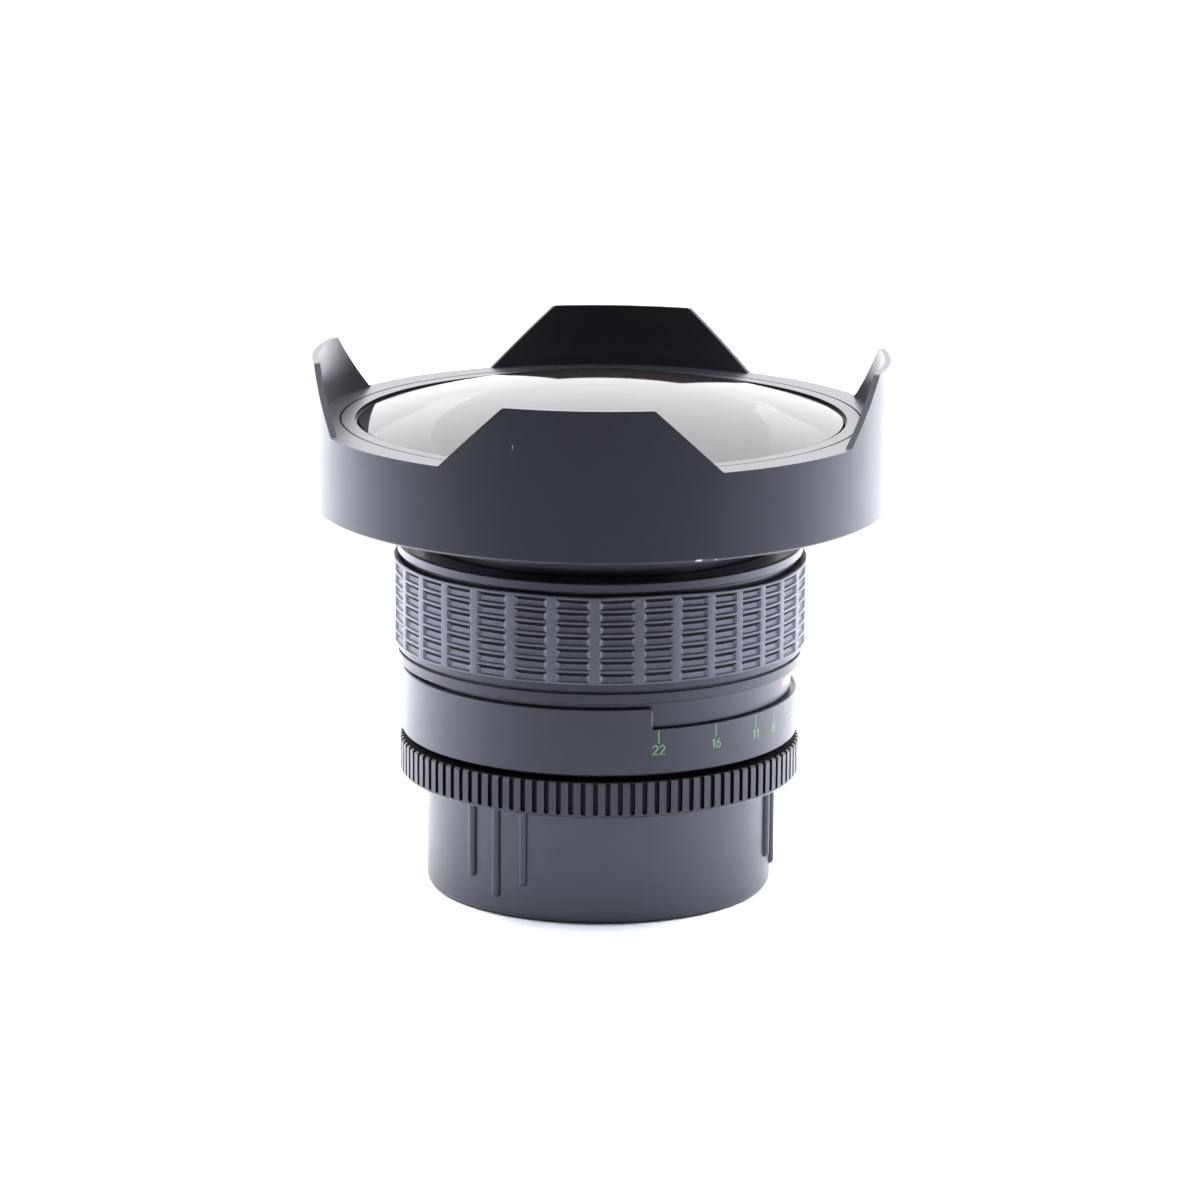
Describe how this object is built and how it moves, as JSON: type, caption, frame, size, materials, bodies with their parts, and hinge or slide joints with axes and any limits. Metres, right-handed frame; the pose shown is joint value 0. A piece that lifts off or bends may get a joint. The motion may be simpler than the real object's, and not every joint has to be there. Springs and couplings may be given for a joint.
{
  "type": "fisheye camera lens",
  "caption": "Fisheye camera lens with a petal hood, domed front glass, rubber focus ring, knurled aperture ring, iris and bayonet mount, standing on its rear cap.",
  "frame": {"origin": "middle of the rear cap's underside, on the optical axis", "axes": "+Z along the optical axis towards the front glass, +X towards the depth scale's index"},
  "size_m": [0.116, 0.116, 0.1084],
  "materials": {
    "black_paint": "satin black paint on turned aluminium",
    "black_anodised": "matte black anodised",
    "cap_plastic": "semi-matte black moulding",
    "grip_rubber": "moulded rubber with pockets",
    "gasket_rubber": "flat black gasket",
    "glass": "polished and coated",
    "mount_alloy": "turned",
    "steel": "bright",
    "brass": "machined",
    "blade_steel": "blackened"
  },
  "bodies": {
    "rear_cap": {"rear_cap": "cap_plastic"},
    "barrel": {"main_barrel": "black_paint", "dof_ring": "black_paint", "mount_ring": "mount_alloy", "mount_screws": "steel", "guide_keys": "brass", "nut_retainer": "steel", "stop_down_spring": "steel"},
    "focus_ring": {"focus_ring": "black_paint", "grip_rubber": "grip_rubber", "distance_scale": "black_paint", "helicoid_nut": "brass"},
    "optical_unit": {"hood": "black_paint", "front_ring": "black_paint", "front_gasket": "gasket_rubber", "front_element": "glass", "helicoid_sleeve": "black_paint", "lens_block": "black_anodised", "second_element": "glass", "second_retainer": "black_anodised", "third_element": "glass", "fourth_element": "glass", "third_retainer": "black_anodised", "iris_base": "black_anodised", "rear_cell": "black_anodised", "fifth_element": "glass", "sixth_element": "glass", "front_spacer": "black_anodised", "seventh_element": "glass", "eighth_element": "glass", "rear_spacer": "black_anodised", "ninth_element": "glass", "tenth_element": "glass", "rear_retainer": "black_anodised", "rear_filter": "glass", "rear_filter_ring": "black_anodised"},
    "iris_drive": {"iris_drive_ring": "brass"},
    "aperture_ring": {"aperture_ring": "black_paint", "aperture_arm": "steel"},
    "stop_down_pin": {"stop_down_pin": "steel"},
    "iris_blade_1": {"iris_blade_1": "blade_steel"},
    "iris_blade_2": {"iris_blade_2": "blade_steel"},
    "iris_blade_3": {"iris_blade_3": "blade_steel"},
    "iris_blade_4": {"iris_blade_4": "blade_steel"},
    "iris_blade_5": {"iris_blade_5": "blade_steel"},
    "iris_blade_6": {"iris_blade_6": "blade_steel"}
  },
  "joints": [
    {"name": "lens_lift", "type": "slide", "parent": "rear_cap", "child": "barrel", "axis": [0, 0, 1], "range_m": [0, 0.03]},
    {"name": "focus_turn", "type": "hinge", "parent": "barrel", "child": "focus_ring", "pos_m": [0, 0, 0.0596], "axis": [0, 0, -1], "range_deg": [0, 240]},
    {"name": "focus_extend", "type": "slide", "parent": "barrel", "child": "optical_unit", "axis": [0, 0, 1], "range_m": [0, 0.00434]},
    {"name": "aperture_turn", "type": "hinge", "parent": "barrel", "child": "aperture_ring", "pos_m": [0, 0, 0.027], "axis": [0, 0, 1], "range_deg": [0, 54]},
    {"name": "iris_drive_turn", "type": "hinge", "parent": "optical_unit", "child": "iris_drive", "pos_m": [0, 0, 0.04956], "axis": [0, 0, 1], "range_deg": [0, 54]},
    {"name": "blade_1_turn", "type": "hinge", "parent": "optical_unit", "child": "iris_blade_1", "pos_m": [0.0136, 0, 0.0524], "axis": [0, 0, 1], "range_deg": [0, 26]},
    {"name": "blade_2_turn", "type": "hinge", "parent": "optical_unit", "child": "iris_blade_2", "pos_m": [0.0068, 0.01178, 0.0524], "axis": [0, 0, 1], "range_deg": [0, 26]},
    {"name": "blade_3_turn", "type": "hinge", "parent": "optical_unit", "child": "iris_blade_3", "pos_m": [-0.0068, 0.01178, 0.0524], "axis": [0, 0, 1], "range_deg": [0, 26]},
    {"name": "blade_4_turn", "type": "hinge", "parent": "optical_unit", "child": "iris_blade_4", "pos_m": [-0.0136, 0, 0.0524], "axis": [0, 0, 1], "range_deg": [0, 26]},
    {"name": "blade_5_turn", "type": "hinge", "parent": "optical_unit", "child": "iris_blade_5", "pos_m": [-0.0068, -0.01178, 0.0524], "axis": [0, 0, 1], "range_deg": [0, 26]},
    {"name": "blade_6_turn", "type": "hinge", "parent": "optical_unit", "child": "iris_blade_6", "pos_m": [0.0068, -0.01178, 0.0524], "axis": [0, 0, 1], "range_deg": [0, 26]},
    {"name": "stop_down", "type": "slide", "parent": "barrel", "child": "stop_down_pin", "axis": [0, 0, 1], "range_m": [0, 0.0025], "stiffness_N_per_m": 200, "springref_m": -0.002, "deforming": ["stop_down_spring"]}
  ],
  "couplings": [
    {"joint": "focus_extend", "follows": "focus_turn", "m_per_rad": 0.0010345},
    {"joint": "iris_drive_turn", "follows": "aperture_turn", "ratio": 1},
    {"joint": "blade_1_turn", "follows": "aperture_turn", "ratio": 0.48148},
    {"joint": "blade_2_turn", "follows": "aperture_turn", "ratio": 0.48148},
    {"joint": "blade_3_turn", "follows": "aperture_turn", "ratio": 0.48148},
    {"joint": "blade_4_turn", "follows": "aperture_turn", "ratio": 0.48148},
    {"joint": "blade_5_turn", "follows": "aperture_turn", "ratio": 0.48148},
    {"joint": "blade_6_turn", "follows": "aperture_turn", "ratio": 0.48148}
  ]
}
